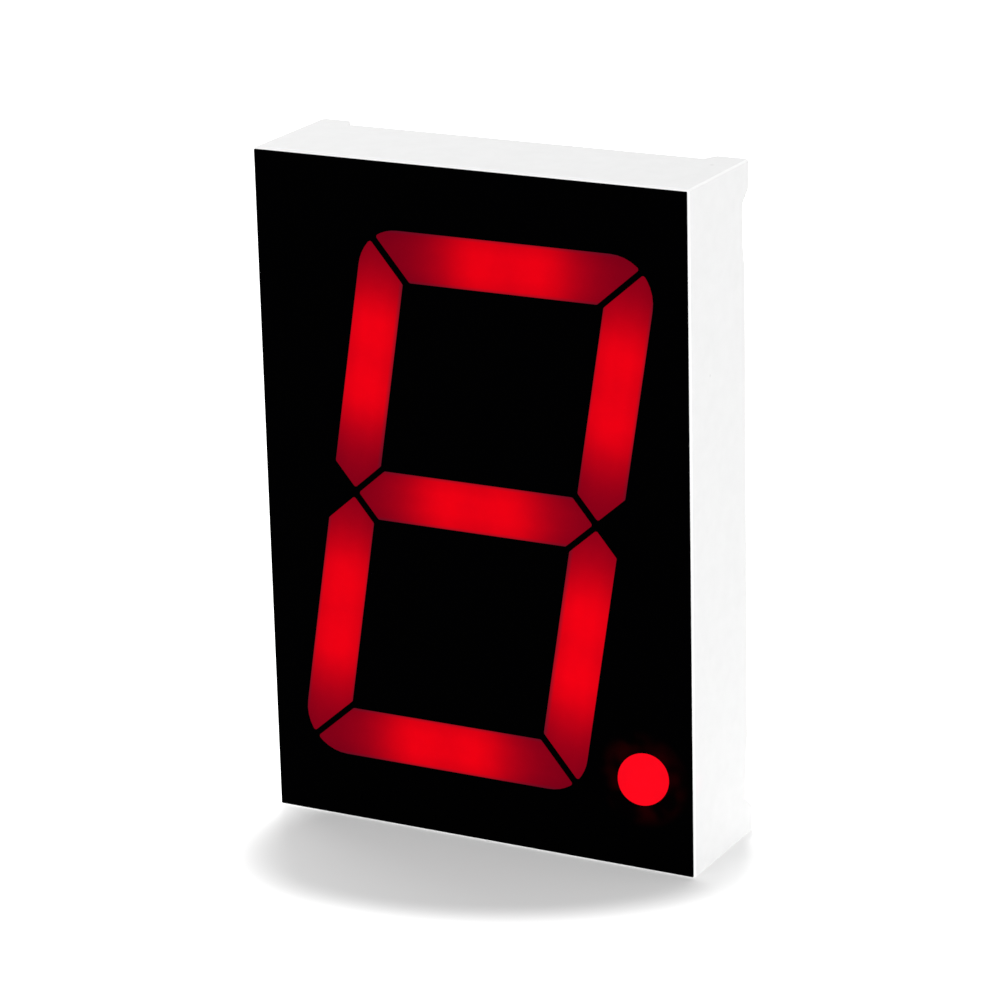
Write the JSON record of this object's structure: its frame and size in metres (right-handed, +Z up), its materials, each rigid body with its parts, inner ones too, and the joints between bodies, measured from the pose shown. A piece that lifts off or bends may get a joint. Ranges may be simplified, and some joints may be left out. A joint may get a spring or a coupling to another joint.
{
  "type": "seven segment display",
  "caption": "Large single-digit LED display: shallow white casing with a black printed face, slanted red segments, round decimal point, and rows of pins behind.",
  "frame": {"origin": "middle of the casing's bottom wall, on its outer face and halfway through the walls' depth", "axes": "+Z up the digit, +Y from the face towards the pins, +X towards the decimal point's side as seen from the front"},
  "size_m": [0.0382, 0.0155, 0.0562],
  "materials": {
    "casing": "fine satin moulded white, slightly scuffed at the edges",
    "black_ink": "dull printed black",
    "red_resin": "milky red diffusing resin, lit from behind",
    "board": "green lacquered glass-fibre board",
    "copper": "gold-flashed copper",
    "die": "bare semiconductor with a gold contact",
    "gold_wire": "bright drawn gold wire",
    "tinned_pin": "tin-plated, slightly dull",
    "solder": "satin solder",
    "potting_resin": "poured milky epoxy, level and glossy"
  },
  "bodies": {
    "root": {"housing": "casing", "black_face": "black_ink", "segment_a": "red_resin", "segment_b": "red_resin", "segment_c": "red_resin", "segment_d": "red_resin", "segment_e": "red_resin", "segment_f": "red_resin", "segment_g": "red_resin", "decimal_point": "red_resin", "circuit_board": "board", "front_copper": "copper", "rear_copper": "copper", "dice_a": "die", "dice_b": "die", "dice_c": "die", "dice_d": "die", "dice_e": "die", "dice_f": "die", "dice_g": "die", "die_point": "die", "wires_a": "gold_wire", "wires_b": "gold_wire", "wires_c": "gold_wire", "wires_d": "gold_wire", "wires_e": "gold_wire", "wires_f": "gold_wire", "wires_g": "gold_wire", "wire_point": "gold_wire", "pin_1": "tinned_pin", "pin_2": "tinned_pin", "pin_3": "tinned_pin", "pin_4": "tinned_pin", "pin_5": "tinned_pin", "pin_6": "tinned_pin", "pin_7": "tinned_pin", "pin_8": "tinned_pin", "pin_9": "tinned_pin", "pin_10": "tinned_pin", "solder_joints": "solder", "potting": "potting_resin"}
  },
  "joints": []
}
